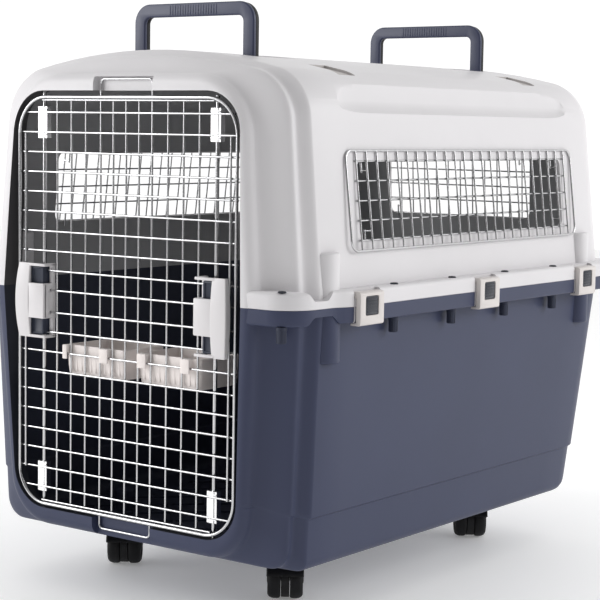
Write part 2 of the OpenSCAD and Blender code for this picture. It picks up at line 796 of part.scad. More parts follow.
latch_handle(-1);  // latch_handle_left
latch_handle(1);  // latch_handle_right
latch_spring(-1);  // latch_spring_left
latch_spring(1);  // latch_spring_right
latch_rod(-1, true);  // latch_rod_top_left
latch_rod(-1, false);  // latch_rod_bottom_left
latch_rod(1, true);  // latch_rod_top_right
latch_rod(1, false);  // latch_rod_bottom_right
bowl(0);  // bowl_left
bowl(1);  // bowl_right
castor_stem(0);  // castor_stem_1
castor_stem(1);  // castor_stem_2
castor_stem(2);  // castor_stem_3
castor_stem(3);  // castor_stem_4
castor_hood(0);  // castor_hood_1
castor_hood(1);  // castor_hood_2
castor_hood(2);  // castor_hood_3
castor_hood(3);  // castor_hood_4
castor_axle(0);  // castor_axle_1
castor_axle(1);  // castor_axle_2
castor_axle(2);  // castor_axle_3
castor_axle(3);  // castor_axle_4
castor_wheels(0);  // castor_wheels_1
castor_wheels(1);  // castor_wheels_2
castor_wheels(2);  // castor_wheels_3
castor_wheels(3);  // castor_wheels_4
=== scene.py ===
"""Looks of a wheeled pet carrier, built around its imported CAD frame."""
import json
import math

import bmesh
import bpy
import numpy as np
from mathutils import Matrix, Vector


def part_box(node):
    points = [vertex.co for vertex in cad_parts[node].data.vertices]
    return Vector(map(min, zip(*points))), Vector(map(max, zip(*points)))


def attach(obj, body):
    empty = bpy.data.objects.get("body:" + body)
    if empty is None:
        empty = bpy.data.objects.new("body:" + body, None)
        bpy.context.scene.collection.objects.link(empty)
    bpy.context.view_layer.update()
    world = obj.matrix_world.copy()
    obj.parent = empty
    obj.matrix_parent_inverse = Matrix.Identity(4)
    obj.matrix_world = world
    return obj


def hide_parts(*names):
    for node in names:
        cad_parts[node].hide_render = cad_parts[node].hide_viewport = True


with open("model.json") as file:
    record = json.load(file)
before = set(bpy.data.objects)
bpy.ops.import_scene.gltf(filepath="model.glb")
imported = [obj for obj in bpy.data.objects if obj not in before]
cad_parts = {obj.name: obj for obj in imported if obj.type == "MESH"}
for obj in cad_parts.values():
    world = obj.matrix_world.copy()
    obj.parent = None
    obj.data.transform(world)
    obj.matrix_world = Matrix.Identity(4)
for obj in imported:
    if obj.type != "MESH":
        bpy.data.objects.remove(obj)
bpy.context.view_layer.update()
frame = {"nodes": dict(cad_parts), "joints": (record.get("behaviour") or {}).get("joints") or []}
nodes = frame["nodes"]
joints = {j["name"]: j for j in frame["joints"]}

# ---------------- places from the frame, in mm
MM = 0.001


def box_mm(node):
    lo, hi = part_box(node)
    return lo / MM, hi / MM


up_lo, up_hi = box_mm("upper_shell")
seam = up_lo.z
roof = up_hi.z
base = box_mm("lower_shell")[0].z
front = up_lo.y
flange_x = up_hi.x
flange_rear = up_hi.y
rear = flange_rear - 15
mid_y = (front + rear) / 2 + 3.5
above_roof = roof + 20
outside_y = front - 20
outside_x = 300.0
wall = 4.0
SIDES = (-1, 1)
ALONG_X, ALONG_Z = (1, 0, 0), (0, 0, 1)


# ---------------- materials
def link(tree, a, b):
    tree.links.new(a, b)


def node(tree, kind, **values):
    """A new shader node with some of its inputs or settings given."""
    n = tree.nodes.new(kind)
    for key, value in values.items():
        if key in n.inputs:
            n.inputs[key].default_value = value
        else:
            setattr(n, key, value)
    return n


def map_range(tree, source, from_min, from_max, to_min, to_max, kind="LINEAR"):
    """A value mapped from one range onto another."""
    limits = {"From Min": from_min, "From Max": from_max, "To Min": to_min, "To Max": to_max}
    n = node(tree, "ShaderNodeMapRange", interpolation_type=kind, **limits)
    link(tree, source, n.inputs["Value"])
    return n.outputs["Result"]


def opaque(colour, gain=1.0, lift=0.0):
    """A colour as the shader nodes take it, brightened or darkened, with no channel over 1."""
    return [min(1, c * gain + lift) for c in colour] + [1]


def surface(name, colour, rough, metal=0.0, grain=900.0, grain_depth=0.00006, tint=0.06, rough_spread=0.06,
            coat=0.0, brushed=None, scuff=0.0):
    """A moulded, plated or rubber surface: fine grain, slow colour drift, uneven gloss and light scuffs."""
    mat = bpy.data.materials.new(name)
    mat.use_nodes = True
    tree = mat.node_tree
    shader = tree.nodes["Principled BSDF"]
    shader.inputs["Metallic"].default_value = metal
    shader.inputs["Specular IOR Level"].default_value = 0.5 if metal else 0.34
    shader.inputs["Coat Weight"].default_value = coat
    shader.inputs["Coat Roughness"].default_value = 0.25
    place = node(tree, "ShaderNodeTexCoord")
    stretch = node(tree, "ShaderNodeMapping")
    if brushed:
        stretch.inputs["Scale"].default_value = brushed
    link(tree, place.outputs["Object"], stretch.inputs["Vector"])
    fine = node(tree, "ShaderNodeTexNoise", Scale=grain, Detail=3.0, Roughness=0.6)
    slow = node(tree, "ShaderNodeTexNoise", Scale=7.0, Detail=4.0, Roughness=0.55)
    link(tree, stretch.outputs["Vector"], fine.inputs["Vector"])
    link(tree, place.outputs["Object"], slow.inputs["Vector"])
    ramp = node(tree, "ShaderNodeValToRGB")
    dark, light = ramp.color_ramp.elements
    dark.position, light.position = 0.3, 0.7
    dark.color = opaque(colour, 1 - tint)
    light.color = opaque(colour, 1 + tint)
    link(tree, slow.outputs["Fac"], ramp.inputs["Fac"])
    colour_out = ramp.outputs["Color"]
    if scuff:
        marks = node(tree, "ShaderNodeTexNoise", Scale=60.0, Detail=8.0, Roughness=0.75)
        link(tree, place.outputs["Object"], marks.inputs["Vector"])
        share = map_range(tree, marks.outputs["Fac"], 0.62, 0.78, 0.0, scuff)
        mix = node(tree, "ShaderNodeMix", data_type="RGBA")
        mix.inputs["B"].default_value = opaque(colour, 1.5, 0.04)
        link(tree, share, mix.inputs["Factor"])
        link(tree, colour_out, mix.inputs["A"])
        colour_out = mix.outputs["Result"]
    link(tree, colour_out, shader.inputs["Base Color"])
    low, high = max(0.02, rough - rough_spread), min(1.0, rough + rough_spread)
    link(tree, map_range(tree, fine.outputs["Fac"], 0.0, 1.0, low, high), shader.inputs["Roughness"])
    bump = node(tree, "ShaderNodeBump", Strength=0.35, Distance=grain_depth)
    link(tree, fine.outputs["Fac"], bump.inputs["Height"])
    link(tree, bump.outputs["Normal"], shader.inputs["Normal"])
    return mat


M_GREY = surface("shell_grey", (0.70, 0.685, 0.70), 0.42, tint=0.02, coat=0.05)
# inner faces of the grey lid: the shell grey darkened to 0.40, painted shade for the dim inside of the cabin
M_GREY_SHADE_IN = surface("shell_grey_painted_inner_shade", (0.40, 0.40, 0.41), 0.6, tint=0.05)
M_NAVY = surface("shell_navy", (0.037, 0.045, 0.091), 0.45, tint=0.05, scuff=0.05, grain=700,
                 grain_depth=0.00012)
# inner faces of the navy tub, its floor ribs and castor bosses: the shell navy darkened, painted shade for
# the dark inside of the cabin
M_NAVY_SHADE_IN = surface("shell_navy_painted_inner_shade", (0.024, 0.028, 0.050), 0.6, tint=0.05)
# floors of the roof slots: the shell grey darkened, painted shade in the shallow slots
M_SLOT_SHADE = surface("slot_painted_shade", (0.50, 0.475, 0.465), 0.5, tint=0.03)
M_JAMB = surface("doorway_shade", (0.045, 0.043, 0.046), 0.6, tint=0.05)
M_JAMB_NAVY = surface("doorway_shade_navy", (0.014, 0.016, 0.025), 0.6, tint=0.05)
M_CREAM = surface("clip_cream", (0.66, 0.62, 0.60), 0.38, tint=0.02, coat=0.1)
M_BOWL = surface("bowl_cream", (0.84, 0.775, 0.75), 0.45, tint=0.03)
M_LATCH = surface("latch_cream", (0.70, 0.68, 0.69), 0.35, tint=0.02, coat=0.1)
M_LATCH_BASE = surface("latch_base_navy", (0.024, 0.030, 0.050), 0.4, tint=0.05)
M_BUTTON = surface("button_dark", (0.010, 0.013, 0.024), 0.28, tint=0.1, coat=0.1)
M_GRIP = surface("grip_navy", (0.043, 0.050, 0.095), 0.36, tint=0.04, grain_depth=0.00012)
M_BLACK = surface("black_plastic", (0.004, 0.004, 0.005), 0.5, tint=0.1)
M_WIRE = surface("zinc_wire", (0.54, 0.54, 0.55), 0.17, metal=1.0, grain=400, tint=0.05, rough_spread=0.08)
M_SLEEVE = surface("sleeve_steel", (0.86, 0.86, 0.87), 0.24, metal=1.0, grain=600, tint=0.03,
                   brushed=(1, 1, 0.05))
M_STEEL = surface("pin_steel", (0.6, 0.6, 0.62), 0.3, metal=1.0, grain=500, tint=0.05)
M_BOLT = surface("bolt_dark", (0.022, 0.025, 0.036), 0.5, tint=0.1)
M_NUT = surface("nut_navy", (0.024, 0.029, 0.052), 0.6, tint=0.1)
M_TYRE = surface("wheel_black", (0.003, 0.003, 0.004), 0.62, tint=0.15, grain_depth=0.0002, scuff=0.08)


# ---------------- mesh helpers
def link_object(name, mesh):
    obj = bpy.data.objects.new(name, mesh)
    bpy.context.scene.collection.objects.link(obj)
    return obj


def edit_mesh(mesh, *edits):
    """Runs bmesh edits on a mesh, then turns all its faces outwards."""
    bm = bmesh.new()
    bm.from_mesh(mesh)
    for edit in edits:
        edit(bm)
    bmesh.ops.recalc_face_normals(bm, faces=bm.faces)
    bm.to_mesh(mesh)
    bm.free()


def weld(bm):
    """Merges the points that fall together on an axis of revolution."""
    bmesh.ops.remove_doubles(bm, verts=bm.verts, dist=1e-6)
    bmesh.ops.dissolve_degenerate(bm, edges=bm.edges, dist=1e-7)


def from_data(name, verts, faces, mat):
    """A mesh object from points in mm."""
    mesh = bpy.data.meshes.new(name)
    mesh.from_pydata([tuple(c * MM for c in v) for v in verts], [], faces)
    mesh.materials.append(mat)
    mesh.validate()
    obj = link_object(name, mesh)
    edit_mesh(mesh)
    return obj


def loft(name, rings, mat, caps=True):
    """Skins a run of equal closed rings; caps are strips between mirrored points."""
    n = len(rings[0])
    verts = [p for r in rings for p in r]
    faces = []
    for j in range(len(rings) - 1):
        for i in range(n):
            a, b = j * n + i, j * n + (i + 1) % n
            faces.append((a, b, b + n, a + n))
    if caps:
        for o in (0, (len(rings) - 1) * n):
            for i in range((n - 1) // 2):
                a, b, c, d = o + i, o + i + 1, o + n - 2 - i, o + n - 1 - i
                faces.append((a, b, d) if b == c else (a, b, c, d))
    return from_data(name, verts, faces, mat)


def prism(name, outline, lo, hi, axis, mat):
    """An outline in the plane across an axis, extruded from lo to hi."""
    def put(p, h):
        if axis == "x":
            return (h, p[0], p[1])
        if axis == "y":
            return (p[0], h, p[1])
        return (p[0], p[1], h)
    n = len(outline)
    verts = [put(p, lo) for p in outline] + [put(p, hi) for p in outline]
    faces = [tuple(range(n))[::-1], tuple(range(n, 2 * n))]
    faces += [(i, (i + 1) % n, n + (i + 1) % n, n + i) for i in range(n)]
    return from_data(name, verts, faces, mat)


def brick(x0, x1, y0, y1, z0, z1, mat=M_GREY):
    """A plain box."""
    return prism("brick", [(x0, y0), (x1, y0), (x1, y1), (x0, y1)], z0, z1, "z", mat)


def arc(cx, cy, r, a0, a1, n=6):
    """Points along an arc, from angle a0 to a1 in degrees."""
    return [(cx + r * math.cos(math.radians(a0 + (a1 - a0) * i / n)),
             cy + r * math.sin(math.radians(a0 + (a1 - a0) * i / n))) for i in range(n + 1)]


def round_rect(x0, x1, y0, y1, r, n=4):
    """A rectangle with round corners of radius r."""
    return (arc(x1 - r, y0 + r, r, -90, 0, n) + arc(x1 - r, y1 - r, r, 0, 90, n)
            + arc(x0 + r, y1 - r, r, 90, 180, n) + arc(x0 + r, y0 + r, r, 180, 270, n))


def revolve(name, profile, centre, axis, mat, steps=48):
    """A closed (radius, height) profile turned about an axis through a centre."""
    axis = Vector(axis).normalized()
    side = axis.orthogonal().normalized()
    up = axis.cross(side)
    n = len(profile)
    verts, faces = [], []
    for s in range(steps):
        a = 2 * math.pi * s / steps
        out = side * math.cos(a) + up * math.sin(a)
        verts += [tuple(Vector(centre) + out * r + axis * h) for r, h in profile]
    for s in range(steps):
        t = (s + 1) % steps
        for i in range(n):
            k = (i + 1) % n
            faces.append((s * n + i, s * n + k, t * n + k, t * n + i))
    obj = from_data(name, verts, faces, mat)
    edit_mesh(obj.data, weld)
    return obj


def apply_all(obj):
    """Bakes an object's modifiers into its mesh."""
    graph = bpy.context.evaluated_depsgraph_get()
    mesh = bpy.data.meshes.new_from_object(obj.evaluated_get(graph))
    old = obj.data
    obj.modifiers.clear()
    obj.data = mesh
    bpy.data.meshes.remove(old)


def remove(obj):
    """Deletes an object and its mesh."""
    mesh = obj.data
    bpy.data.objects.remove(obj)
    if mesh.users == 0:
        bpy.data.meshes.remove(mesh)


def cut(obj, *tools):
    """Subtracts several tools from an object and removes them."""
    for tool in tools:
        mod = obj.modifiers.new("cut", "BOOLEAN")
        mod.operation = "DIFFERENCE"
        mod.solver = "EXACT"
        mod.material_mode = "TRANSFER"
        mod.object = tool
    apply_all(obj)
    for tool in tools:
        remove(tool)
    return obj


def join(name, objs):
    """One object from several, keeping their materials."""
    mesh = bpy.data.meshes.new(name)
    bm = bmesh.new()
    mats = []
    for o in objs:
        part = o.data
        slots = []
        for m in part.materials:
            if m not in mats:
                mats.append(m)
            slots.append(mats.index(m))
        start = len(bm.faces)
        bm.from_mesh(part)
        bm.faces.ensure_lookup_table()
        for f in bm.faces[start:]:
            f.material_index = slots[f.material_index] if slots else 0
    bm.to_mesh(mesh)
    bm.free()
    for m in mats:
        mesh.materials.append(m)
    for o in objs:
        remove(o)
    return link_object(name, mesh)


def soften(obj, width, segments=3, angle=35):
    """Rounds the edges of a piece, in mm."""
    mod = obj.modifiers.new("bevel", "BEVEL")
    mod.width = width * MM
    mod.segments = segments
    mod.limit_method = "ANGLE"
    mod.angle_limit = math.radians(angle)
    mod.use_clamp_overlap = True
    mod.harden_normals = False
    apply_all(obj)
    return obj


def mirror_x(obj, s):
    """Turns a piece drawn for the +X side over to -X when s is negative."""
    if s < 0:
        obj.data.transform(Matrix.Diagonal((-1, 1, 1, 1)))
        obj.data.flip_normals()


def fill_ends(obj):
    """Closes the open ends of a loft."""
    edit_mesh(obj.data, lambda bm: bmesh.ops.holes_fill(bm, edges=[e for e in bm.edges if e.is_boundary]))


def copy_of(obj):
    return link_object("copy", obj.data.copy())


def rounded(name, outline, lo, hi, axis, mat, width, segments=2, angle=40):
    """A prism with its edges rounded."""
    return soften(prism(name, outline, lo, hi, axis, mat), width, segments, angle)


def islands(obj):
    """The bounding boxes of an object's separate solids, in mm."""
    bm = bmesh.new()
    bm.from_mesh(obj.data)
    bmesh.ops.remove_doubles(bm, verts=bm.verts, dist=1e-6)
    seen, out = set(), []
    bm.verts.ensure_lookup_table()
    for v in bm.verts:
        if v.index in seen:
            continue
        waiting, pts = [v], []
        seen.add(v.index)
        while waiting:
            a = waiting.pop()
            pts.append(a.co.copy())
            for e in a.link_edges:
                b = e.other_vert(a)
                if b.index not in seen:
                    seen.add(b.index)
                    waiting.append(b)
        out.append((np.array(pts).min(0) / MM, np.array(pts).max(0) / MM))
    bm.free()
    return out


def plan_centre(lo, hi):
    """The middle of a box, seen from above."""
    return (lo[0] + hi[0]) / 2, (lo[1] + hi[1]) / 2


def smooth(obj, angle):
    """Shades a piece smooth, with sharp edges above an angle in degrees."""
    obj.data.shade_smooth()
    obj.data.set_sharp_from_angle(angle=math.radians(angle))


def finish_piece(obj, name, body, replaced):
    """Names a finished piece and says what it rides on, which CAD node it replaces."""
    obj.name = name
    obj.data.name = name
    smooth(obj, 32)
    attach(obj, body)
    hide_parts(replaced)


# ---------------- shell surfaces, in mm
# half widths: the body at the seam, floor and roof, then the rim at the seam, top and foot
half_w = 262.0
base_half, roof_half = half_w - 12, half_w - 28
rim_half, rim_half_top, rim_half_low = 212.0, 187.0, 192.0
rim_top, rim_low = 656.0, 82.0
# the step round the foot of the tub: height, depth and drop
step_z, step_in, step_drop = 139.0, 4.2, 2.4
# slopes of the rear wall below and above the seam, and of the front rim
lean_low, lean_high, rim_lean = 0.18, 0.05, 0.036
roof_r, base_r, rim_top_r, rim_low_r, rear_r = 65.0, 14.0, 80.0, 62.0, 60.0
crown, rim_crown, roof_tangent = 0.225, 0.02, roof + 25
# the rim's front edge radius, and how far back the flare ends
edge_r, flare_y = 13.0, 65.0
# the flare behind the rim: the first fold's share of its width, where that fold ends, where the second starts
fold_one, fold_one_end, fold_two_start = 0.74, 0.56, 0.66


def mixed(a, b, t):
    """The value a share t of the way from a to b."""
    return a + (b - a) * t


def ease(t):
    """A smooth step from 0 to 1."""
    t = min(1, max(0, t))
    return t * t * (3 - 2 * t)


def low_half(hs, hb, zb, r, top_z, step):
    """Half a section of the tub: half width hs at the seam and hb at height zb, corner r, stepped wall."""
    k = (hs - hb) / (seam - zb)
    cx = hb - step + k * r - r * math.sqrt(1 + k * k)

    def side(z):
        return hs - k * (seam - z)
    a0 = -math.degrees(math.atan(k))
    turn = max(step_z, zb + r + 8)
    levels = [top_z] + list(np.linspace(seam - 12, turn + 4, 14)) + [turn]
    out = [(side(z), z) for z in levels]
    x, edge = side(turn), 0.3
    out += [(x - edge, turn - edge), (x - step + edge, turn - step_drop), (x - step, turn - step_drop - 0.8)]
    return out + arc(cx, zb + r, r, a0, -90, 12)


def high_half(hs, ht, zt, r, bottom_z, arch):
    """Half a section of the lid: half width hs at the seam and ht at height zt, corner r, arched roof."""
    k = (hs - ht) / (zt - seam)
    a0 = hs + k * seam - r * math.sqrt(1 + k * k)
    b0 = zt - r * math.sqrt(1 + arch * arch)
    cx = (a0 - k * b0) / (1 - k * arch)
    cz = b0 - arch * cx
    low_a, high_a = math.degrees(math.atan(k)), 90 - math.degrees(math.atan(arch))
    top_z = cz + r * math.sin(math.radians(low_a))

    def side(z):
        return hs - k * (z - seam)
    out = [(side(bottom_z), bottom_z)]
    out += [(side(z), z) for z in np.linspace(seam + 12, top_z - 6, 14)]
    out += arc(cx, cz, r, low_a, high_a, 22)
    xe, ze = out[-1]
    out += [(xe * t, ze + arch * xe / 2 * (1 - t * t)) for t in (0.85, 0.7, 0.55, 0.4, 0.27, 0.13, 0.0)]
    return out


def both(half):
    """A whole closed outline from its right half."""
    return half + [(-x, z) for x, z in reversed(half) if x > 1e-6]


# closed sections of the rim and of the body, a depth t inside the outer skin and cut off at height z
def low_rim(t, z):
    return both(low_half(rim_half - t, rim_half_low - t, rim_low + t, max(4, rim_low_r - t), z, 0))


def low_body(t, z, inset=0.0, up=0.0):
    return both(low_half(half_w - t - inset, base_half - t - inset, base + t + up, base_r + up, z, step_in))


def high_rim(t, z):
    return both(high_half(rim_half - t, rim_half_top - t, rim_top - t, max(4, rim_top_r - t), z, rim_crown))


def high_body(t, z, inset=0.0, down=0.0):
    top = roof_tangent - t - down
    return both(high_half(half_w - t - inset, roof_half - t - inset, top, roof_r - t, z, crown))


def front_at(z):
    """The front of the rim at a height."""
    return front + rim_lean * abs(z - seam)


def rear_at(z):
    """The rear wall at a height."""
    return rear - (lean_low * (seam - z) if z < seam else lean_high * (z - seam))


def blend_profiles(a, b, t):
    return [(mixed(p[0], q[0], t), mixed(p[1], q[1], t)) for p, q in zip(a, b)]


def front_ring(profile, back, keep):
    return [(x, mixed(front, front_at(z), keep) + back, z) for x, z in profile]


def rear_ring(profile, ahead):
    return [(x, rear_at(z) - ahead, z) for x, z in profile]


def flare_share(u):
    """How far the flare has opened, from the rim at 0 to the wall at 1, in two folds."""
    second = ease((u - fold_two_start) / (1 - fold_two_start))
    return fold_one * ease(u / fold_one_end) + (1 - fold_one) * second


def body_rings(rim, body, t):
    """Rings from the rim's round front edge, through the hollow flare, along the walls, round the rear."""
    rings = []
    r = edge_r - t
    for a in np.radians(np.linspace(0, 90, 6)):
        rings.append(front_ring(rim(t + r * (1 - math.sin(a))), t + r * (1 - math.cos(a)), 1))
    for u in np.linspace(0, 1, 25)[1:]:
        rings.append(front_ring(blend_profiles(rim(t), body(t), flare_share(u)),
                                edge_r + (flare_y - edge_r) * u, 1 - u))
    start = flare_y + front
    for u in np.linspace(0, 1, 12)[1:-1]:
        rings.append([(x, mixed(start, rear_at(z) - rear_r, u), z) for x, z in body(t)])
    r = rear_r - t
    for a in np.radians(np.linspace(0, 90, 10)):
        rings.append(rear_ring(body(t, inset=r * (1 - math.cos(a))), t + r * (1 - math.sin(a))))
    return rings


def lower_rings(t, z):
    return body_rings(lambda s: low_rim(s, z), lambda s, inset=0.0: low_body(s, z, inset, inset / 3), t)


def upper_rings(t, z):
    return body_rings(lambda s: high_rim(s, z), lambda s, inset=0.0: high_body(s, z, inset, inset * 0.7), t)


# the recess in each shoulder: its lower edge, height, half length, and the length and shift of its run-outs
recess_z, recess_rise, recess_half, recess_run, recess_shift = 611.0, 42.0, 284.0, 70.0, 15.0
# across the recess, (distance from the middle plane, height over its lower edge): ledge, corner, facet
recess_section = [(242.5, -1), (239, 1.2), (234, 5), (230.5, 9), (228.5, 14), (225.5, 28), (223, 38),
                  (221.5, recess_rise)]
recess_clear = 275.0


def shoulder_recess(t):
    """Rings of the tool that hollows one shoulder: a ledge below, a facet above, running out at both ends."""
    rings = []
    for end in SIDES:
        steps = [1, 0.8, 0.6, 0.4, 0.2, 0]
        for fade in steps if end < 0 else steps[::-1]:
            y = mid_y + end * (recess_half - recess_run * (1 - fade))
            out = recess_shift * (1 - math.sqrt(max(0, 1 - fade * fade))) - t
            low = recess_z - t * 0.6
            rings.append([(x + out, y, low + h) for x, h in recess_section]
                         + [(recess_clear, y, recess_z + recess_rise + 24), (recess_clear, y, low - 1)])
    return rings


def mirrored(rings):
    return [[(-x, y, z) for x, y, z in ring] for ring in rings]


def doorway(g, n=10):
    """The doorway's outline, grown by g: wide at the seam, narrower at both ends, with round corners."""
    end, wide, low, high, r = 181.5 + g, 193.6 + g, 105.0 - g, 633.0 + g, 50.0 + g

    def corner(k, sign, z_end):
        cx = end + k * r - r * math.sqrt(1 + k * k)
        a0 = math.degrees(math.atan(k))
        turns = [math.radians(sign * mixed(a0, 90, i / n)) for i in range(n + 1)]
        return [(cx + r * math.cos(a), z_end - sign * r + r * math.sin(a)) for a in turns]
    low_part = corner((wide - end) / (seam - low), -1, low)[::-1]
    high_part = corner((wide - end) / (high - seam), 1, high)
    half = low_part + [(wide, seam)] + high_part
    return half + [(-x, z) for x, z in reversed(half)]


def doorway_tool(g, y0, y1, mat):
    return prism("doorway", doorway(g), y0, y1, "y", mat)


def seam_outline():
    """The shell's outer line at the parting plane, right side, front to rear middle."""
    ring = [r[0] for r in upper_rings(0, seam)]
    return [(x, y) for x, y, _ in ring]


def flange_outline():
    """The flange's outer line, right side: round the front corner, out past the lug, round the rear."""
    pts = [(200, front + 1.1)] + arc(226, front + 45, 44, -84, 0, 12)
    pts += [(270.5, front + 60), (270.8, front + 72)]
    pts += [(272.5, front + 80), (276, front + 88), (279.5, front + 97)]
    pts += [(flange_x, y) for y in np.linspace(front + 108, flange_rear - 76, 26)]
    return pts + arc(flange_x - 70, flange_rear - 70, 70, 0, 90, 14)


def shrink(half, d):
    """Moves a half outline inwards along its normals."""
    out = []
    for i, (x, y) in enumerate(half):
        p, q = half[max(0, i - 1)], half[min(len(half) - 1, i + 1)]
        run = Vector((q[0] - p[0], q[1] - p[1])).normalized()
        out.append((x - run.y * d, y + run.x * d))
    return out


def stack(name, half, levels, mat):
    """A plate from a half outline, drawn at several (height, inset) levels."""
    verts, faces = [], []
    for z, d in levels:
        verts += [(x, y, z) for x, y in both(shrink(half, d))]
    n = len(verts) // len(levels)
    for low in range(0, len(verts) - n, n):
        faces += [(low + i, low + (i + 1) % n, low + n + (i + 1) % n, low + n + i) for i in range(n)]
    faces += [tuple(range(n))[::-1], tuple(range(len(verts) - n, len(verts)))]
    return from_data(name, verts, faces, mat)


def flange(name, upper, mat):
    """The rounded flange plate with a scoop behind each front lug, open where the shell stands."""
    sign, thick, r = (1, 20.0, 5.0) if upper else (-1, 19.0, 3.0)
    levels = [(seam, 0.7), (seam + sign * 0.8, 0)]
    levels += [(seam + sign * (thick - r + r * math.sin(a)), r - r * math.cos(a))
               for a in np.radians(np.linspace(0, 90, 6))]
    plate = stack(name, flange_outline(), levels, mat)
    inner = shrink(seam_outline(), 2)
    inner = [(inner[0][0], outside_y)] + inner
    hole = prism("hole", both(inner), seam - 40, seam + 40, "z", mat)
    depth, y0, y1 = (11.0, front + 29, front + 78) if upper else (10.0, front + 28, front + 86)
    top, run = seam + sign * thick, 14.0
    far, near = top + sign * 20, top - sign * depth
    ease_in = [(mixed(y0, y0 + run, i / 6), mixed(top, near, ease(i / 6))) for i in range(7)]
    ease_out = [(mixed(y1 - run, y1, i / 6), mixed(near, top, ease(i / 6))) for i in range(7)]
    scoop = ease_in + ease_out + [(y1, far), (y0, far)]
    scoops = [prism("scoop", scoop, *sorted((s * 190, s * outside_x)), "x", mat) for s in SIDES]
    return cut(plate, hole, *scoops)


def pilaster(x, y, z0, z1, r, mat, round_top):
    """A half-round boss with a rounded end."""
    e = 3.0
    h = z1 - z0
    lip = [(r - e + e * math.sin(a), h - e + e * math.cos(a)) for a in np.radians(np.linspace(90, 0, 5))]
    profile = [(0, 0), (r, 0)] + lip + [(0, h)]
    if not round_top:
        profile = [(p[0], h - p[1]) for p in profile]
    return revolve("pilaster", profile, (x, y, z0), ALONG_Z, mat, 40)


# places and sizes of what is cut in or added to the shells
pilaster_y = (front + 83, front + 693)
pilaster_r, pilaster_top, pilaster_foot = 18, 449, 320
slot_depth, slot_half = 3.0, 17.0
slot_x, slot_y = (152, 210), (mid_y - 217, mid_y + 223)
rod_x, rod_y = 141.0, front + 20
loop_half, notch_y, door_y = 48.0, front + 20, front + 15
window_y = (mid_y - 248, mid_y + 248)
window_z = (460.0, 554.0)
rear_window_half = 127.0
clip_gap_in, clip_gap_half = 273.5, 25.5
slit_in, slit_off, slit_half = 277.5, 25.2, 1.2
handle_y = {key: joints["handle_%s_fold" % key]["pos_m"][1] / MM for key in ("front", "rear")}
pivot_z = joints["handle_front_fold"]["pos_m"][2] / MM
well_z = pivot_z - 8.9
# a handle's well and the tray below it: half width, and how far it reaches either side of the pins
well_half, well_reach = 101, (-9, 81)
tray_half, tray_reach = 115, (-14, 84)
# heights at the top and the foot of the doorway: the solid blocks, and the notch for the door's end loop
top_block_z, low_block_z = (628, 690), (60, 105)
top_notch_z, low_notch_z = (610, 650), (50, 110)


def clip_place(k):
    """The side of a clip (-1 left, 1 right) and the middle of its length."""
    lo, hi = box_mm("side_clip_%d" % k)
    return (1 if lo.x > 0 else -1), (lo.y + hi.y) / 2


clip_places = {k: clip_place(k) for k in range(1, 7)}


def clip_gaps(z0, z1):
    """Room in the flange for each clip."""
    return [brick(*sorted((s * clip_gap_in, s * outside_x)), y - clip_gap_half, y + clip_gap_half, z0, z1)
            for s, y in clip_places.values()]


def side_gaps(z0, z1):
    """Narrow notches in the flange either side of each clip."""
    out = []
    for s, y in clip_places.values():
        for e in SIDES:
            mid = y + e * slit_off
            out.append(brick(*sorted((s * slit_in, s * outside_x)), mid - slit_half, mid + slit_half, z0, z1))
    return out


def window_tool(s):
    """The opening for a side window."""
    tool = prism("window", round_rect(*window_y, *window_z, 10, 5), 190, outside_x, "x", M_GREY)
    mirror_x(tool, s)
    return tool


def doorway_ring(mat):
    """The stretch of wall round the doorway that stays solid behind its edge."""
    return cut(doorway_tool(wall, front - 10, front + 30, mat), doorway_tool(0, outside_y, front + 40, mat))


def fitting_blocks(z0, z1, mat):
    """Where the wall stays solid round the door's end loop and the rod sockets."""
    blocks = [brick(-loop_half - 6, loop_half + 6, door_y - 8, notch_y + wall, z0, z1, mat)]
    return blocks + [brick(s * rod_x - 9, s * rod_x + 9, rod_y - 8, rod_y + 9, z0, z1, mat) for s in SIDES]


def rod_sockets(z0, z1, mat):
    """The holes that the ends of the latch rods run into."""
    return [prism("socket", arc(s * rod_x, rod_y, 2.9, 0, 345, 23), z0, z1, "z", mat) for s in SIDES]


def roof_pocket(name, key, half, reach, r, z0):
    """A pocket in the roof beside a handle's pins, on the side that the handle folds to."""
    fold = 1 if key == "front" else -1
    y0, y1 = sorted(handle_y[key] + fold * d for d in reach)
    return prism(name, round_rect(-half, half, y0, y1, r, 4), z0, above_roof, "z", M_GREY)


def pilasters(inset, z_gap, z_end, mat, round_top):
    """The four bosses of a shell. The front ones start near the seam, the rear ones clear of the flange."""
    out = []
    for s in SIDES:
        for y in pilaster_y:
            start = seam + z_gap * (4 if y < mid_y else 16)
            z0, z1 = sorted((start, z_end))
            out.append(pilaster(s * (half_w - inset), y, z0, z1, pilaster_r, mat, round_top))
    return out


